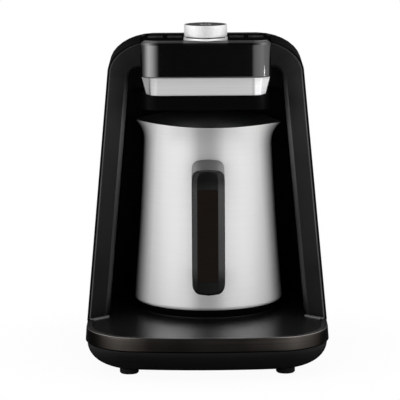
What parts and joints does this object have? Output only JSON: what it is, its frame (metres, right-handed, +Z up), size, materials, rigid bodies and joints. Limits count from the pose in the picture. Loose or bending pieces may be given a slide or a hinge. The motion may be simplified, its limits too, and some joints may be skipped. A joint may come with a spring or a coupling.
{
  "type": "electric turkish coffee maker",
  "caption": "Electric coffee maker with a leaning black tower, a steel jug on a hidden heater, and a press-and-turn knob on the head.",
  "frame": {"origin": "on the table plane, under the middle of the base", "axes": "+X to the right seen from the front, +Y to the back, +Z up; the jug and the head face -Y"},
  "size_m": [0.159, 0.211, 0.2216],
  "materials": {
    "gloss_black": "gloss",
    "satin_black": "satin",
    "deck_black": "satin gloss",
    "brushed_dark": "brushed brown-grey",
    "rubber": "matte",
    "steel": "brushed",
    "dark_steel": "black oxide",
    "zinc": "zinc plated",
    "ceramic": "matte",
    "heater_black": "dark anodised",
    "seal_black": "matte",
    "brushed_silver": "brushed",
    "icon_grey": "gloss",
    "lens_white": "gloss",
    "board_green": "solder mask",
    "board_black": "matte",
    "nylon": "natural",
    "brass": "turned",
    "chrome": "polished",
    "sensor_glass": "tinted",
    "relay_blue": "gloss",
    "winding_yellow": "tape",
    "terminal_green": "matte",
    "wire_black": "matte",
    "wire_red": "matte",
    "knob_silver": "brushed",
    "knob_grey": "satin",
    "pot_steel": "brushed",
    "handle_black": "satin",
    "handle_brown": "satin"
  },
  "bodies": {
    "base": {"base_shell": "gloss_black", "base_band": "brushed_dark", "base_deck": "deck_black", "rubber_feet": "rubber", "base_screws": "steel", "heater_plate": "heater_black", "heater_seal": "seal_black", "heating_element": "steel", "heater_bracket": "zinc", "thermal_fuse": "ceramic", "probe_guide": "ceramic", "front_frame": "satin_black", "tower_shell": "satin_black", "bay_liner": "satin_black", "rear_cover": "satin_black", "rear_screws": "dark_steel", "cable_gland": "rubber", "head_shell": "gloss_black", "head_band": "brushed_silver", "head_hood": "gloss_black", "hood_screws": "dark_steel", "control_panel": "gloss_black", "touch_windows": "icon_grey", "indicator_leds": "lens_white", "control_board": "board_green", "board_spacers": "nylon", "encoder_body": "dark_steel", "knob_ring": "chrome", "buzzer": "board_black", "foam_sensor_lens": "sensor_glass", "foam_sensor_board": "board_green", "power_board": "board_green", "power_spacers": "nylon", "relay": "relay_blue", "capacitor": "board_black", "transformer": "winding_yellow", "terminal_block": "terminal_green", "wiring_harness": "wire_black", "heater_leads": "wire_red", "probe_spring": "steel"},
    "encoder_rotor": {"encoder_rotor": "brass"},
    "knob": {"knob": "knob_silver", "knob_cap": "knob_grey", "encoder_shaft": "steel"},
    "temperature_probe": {"temperature_probe": "steel"},
    "pot": {"pot_shell": "pot_steel", "pot_base": "gloss_black", "pot_handle": "handle_black", "handle_inlay": "handle_brown", "handle_bracket": "zinc", "handle_screws": "steel"}
  },
  "joints": [
    {"name": "knob_spin", "type": "hinge", "parent": "base", "child": "encoder_rotor", "pos_m": [0, -0.0135, 0.2045], "axis": [0, 0, 1], "continuous": true},
    {"name": "knob_press", "type": "slide", "parent": "encoder_rotor", "child": "knob", "axis": [0, 0, 1], "range_m": [-0.0005, 0], "stiffness_N_per_m": 4000, "springref_m": 0.0003},
    {"name": "pot_slide", "type": "slide", "parent": "base", "child": "pot", "axis": [0, -1, 0], "range_m": [0, 0.15]},
    {"name": "probe_press", "type": "slide", "parent": "base", "child": "temperature_probe", "axis": [0, 0, 1], "range_m": [-0.002, 0], "stiffness_N_per_m": 300, "springref_m": 0.001, "deforming": ["probe_spring"]}
  ]
}
